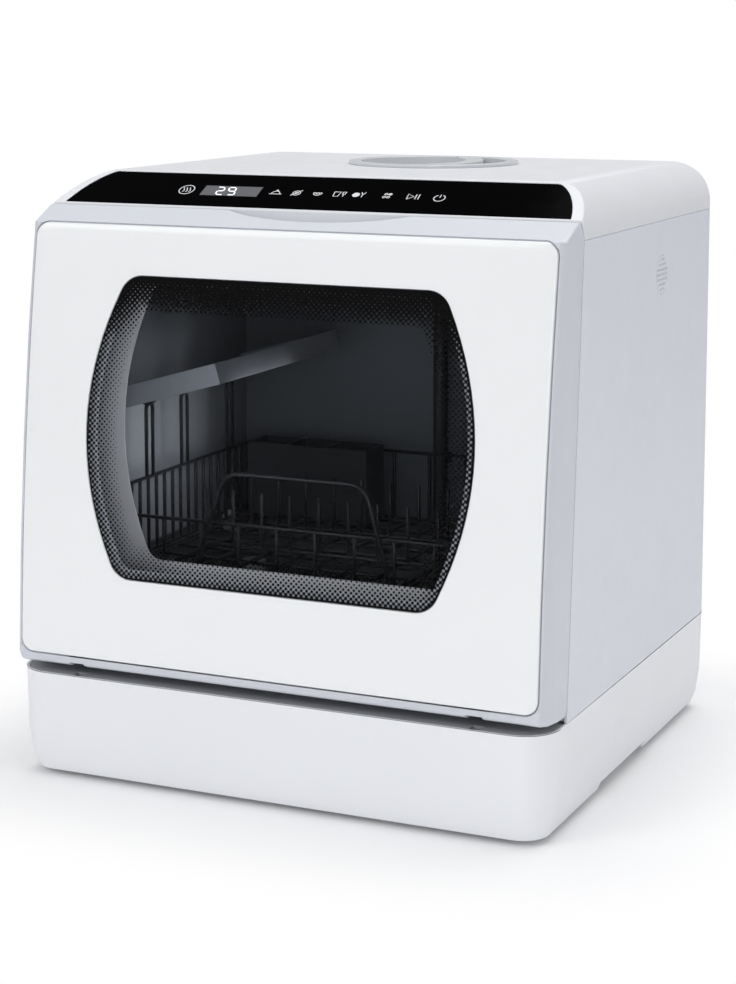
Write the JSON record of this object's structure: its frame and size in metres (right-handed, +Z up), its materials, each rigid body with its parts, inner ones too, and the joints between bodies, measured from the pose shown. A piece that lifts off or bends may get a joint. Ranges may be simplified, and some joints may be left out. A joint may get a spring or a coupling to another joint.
{
  "type": "countertop dishwasher",
  "caption": "Boxy countertop dishwasher with a drop-down door with a barrel-shaped window, a sloping touch panel, a sliding wire basket and a round water filling lid.",
  "frame": {"origin": "the point on the resting surface under the middle of the whole object, rear connections included", "axes": "+Z up, the front with the door faces -Y, +X to the right seen from the front"},
  "size_m": [0.4301, 0.408, 0.4575],
  "materials": {
    "white_shell": "satin moulded ABS",
    "white_plate": "glossy moulded ABS",
    "grey_shell": "satin powder coat",
    "grey_plastic": "fine grain",
    "dark_plastic": "fine grain",
    "mid_plastic": "fine grain",
    "panel_glass": "glossy, printed from behind",
    "window_glass": "clear with a dark dotted border",
    "clear_glass": "clear",
    "steel": "brushed",
    "zinc": "zinc plated",
    "coated_wire": "nylon-dipped wire",
    "rubber": "matt",
    "tank_plastic": "translucent natural",
    "board": "solder mask",
    "filter_plastic": "moulded",
    "roller_plastic": "moulded acetal"
  },
  "bodies": {
    "cabinet": {"base_housing": "white_shell", "base_sill": "grey_plastic", "feet": "rubber", "chassis_plate": "zinc", "side_panel_left": "grey_shell", "side_panel_right": "grey_shell", "back_panel": "grey_shell", "top_cover": "white_shell", "control_panel": "panel_glass", "control_board": "board", "front_frame": "mid_plastic", "tub": "mid_plastic", "door_seal": "rubber", "hinge_brackets": "zinc", "latch_switch": "white_shell", "water_tank": "tank_plastic", "fill_funnel": "tank_plastic", "sump": "dark_plastic", "mesh_filter": "steel", "heater": "steel", "wash_pump": "dark_plastic", "drain_pump": "mid_plastic", "inlet_valve": "tank_plastic", "drain_spigot": "dark_plastic", "cable_gland": "rubber", "drying_fan": "dark_plastic", "vent_grille": "grey_plastic", "float_switch": "roller_plastic", "basket_rails": "mid_plastic", "spray_pipe": "dark_plastic", "panel_screws": "zinc", "hoses": "rubber"},
    "door": {"door_frame": "grey_plastic", "door_plate": "white_plate", "window_glass": "window_glass", "door_liner": "grey_plastic", "inner_glass": "clear_glass", "latch_hook": "zinc", "hinge_pins": "zinc", "detergent_box": "mid_plastic"},
    "basket": {"basket_floor": "coated_wire", "basket_front": "coated_wire", "basket_rear": "coated_wire", "basket_side_left": "coated_wire", "basket_side_right": "coated_wire", "basket_handle": "coated_wire", "plate_tines": "coated_wire"},
    "tank_lid_body": {"tank_lid": "white_shell"},
    "filter_cup_body": {"filter_cup": "filter_plastic"},
    "lower_spray_arm_body": {"lower_spray_arm": "mid_plastic"},
    "upper_spray_arm_body": {"upper_spray_arm": "mid_plastic"},
    "detergent_lid_body": {"detergent_lid": "mid_plastic"},
    "cutlery_holder_body": {"cutlery_holder": "mid_plastic"},
    "cup_shelf_body": {"cup_shelf": "mid_plastic"},
    "roller_front_left_body": {"roller_front_left": "roller_plastic"},
    "roller_front_right_body": {"roller_front_right": "roller_plastic"},
    "roller_rear_left_body": {"roller_rear_left": "roller_plastic"},
    "roller_rear_right_body": {"roller_rear_right": "roller_plastic"}
  },
  "joints": [
    {"name": "door_hinge", "type": "hinge", "parent": "cabinet", "child": "door", "pos_m": [0, -0.192, 0.096], "axis": [1, 0, 0], "range_deg": [0, 94.2]},
    {"name": "basket_slide", "type": "slide", "parent": "cabinet", "child": "basket", "axis": [0, -1, 0], "range_m": [0, 0.1155]},
    {"name": "lid_lift", "type": "slide", "parent": "cabinet", "child": "tank_lid_body", "axis": [0, 0, 1], "range_m": [0, 0.06]},
    {"name": "filter_cup_lift", "type": "slide", "parent": "cabinet", "child": "filter_cup_body", "axis": [0, 0, 1], "range_m": [0, 0.04]},
    {"name": "lower_arm_spin", "type": "hinge", "parent": "cabinet", "child": "lower_spray_arm_body", "pos_m": [0, -0.02, 0.112], "axis": [0, 0, 1], "continuous": true},
    {"name": "upper_arm_spin", "type": "hinge", "parent": "cabinet", "child": "upper_spray_arm_body", "pos_m": [0, -0.02, 0.372], "axis": [0, 0, 1], "continuous": true},
    {"name": "detergent_lid_slide", "type": "slide", "parent": "door", "child": "detergent_lid_body", "axis": [-1, 0, 0], "range_m": [0, 0.064]},
    {"name": "cutlery_lift", "type": "slide", "parent": "basket", "child": "cutlery_holder_body", "axis": [0, 0, 1], "range_m": [0, 0.04]},
    {"name": "cup_shelf_fold", "type": "hinge", "parent": "basket", "child": "cup_shelf_body", "pos_m": [-0.165, -0.01, 0.27351], "axis": [0, -1, 0], "range_deg": [0, 60]},
    {"name": "roller_front_left_spin", "type": "hinge", "parent": "basket", "child": "roller_front_left_body", "pos_m": [-0.1735, -0.095, 0.14451], "axis": [1, 0, 0], "continuous": true},
    {"name": "roller_front_right_spin", "type": "hinge", "parent": "basket", "child": "roller_front_right_body", "pos_m": [0.1735, -0.095, 0.14451], "axis": [1, 0, 0], "continuous": true},
    {"name": "roller_rear_left_spin", "type": "hinge", "parent": "basket", "child": "roller_rear_left_body", "pos_m": [-0.1735, 0.074, 0.14451], "axis": [1, 0, 0], "continuous": true},
    {"name": "roller_rear_right_spin", "type": "hinge", "parent": "basket", "child": "roller_rear_right_body", "pos_m": [0.1735, 0.074, 0.14451], "axis": [1, 0, 0], "continuous": true}
  ],
  "couplings": [
    {"joint": "basket_slide", "follows": "door_hinge", "m_per_rad": 0.07},
    {"joint": "roller_front_left_spin", "follows": "door_hinge", "ratio": 7.7778},
    {"joint": "roller_front_right_spin", "follows": "door_hinge", "ratio": 7.7778},
    {"joint": "roller_rear_left_spin", "follows": "door_hinge", "ratio": 7.7778},
    {"joint": "roller_rear_right_spin", "follows": "door_hinge", "ratio": 7.7778}
  ]
}
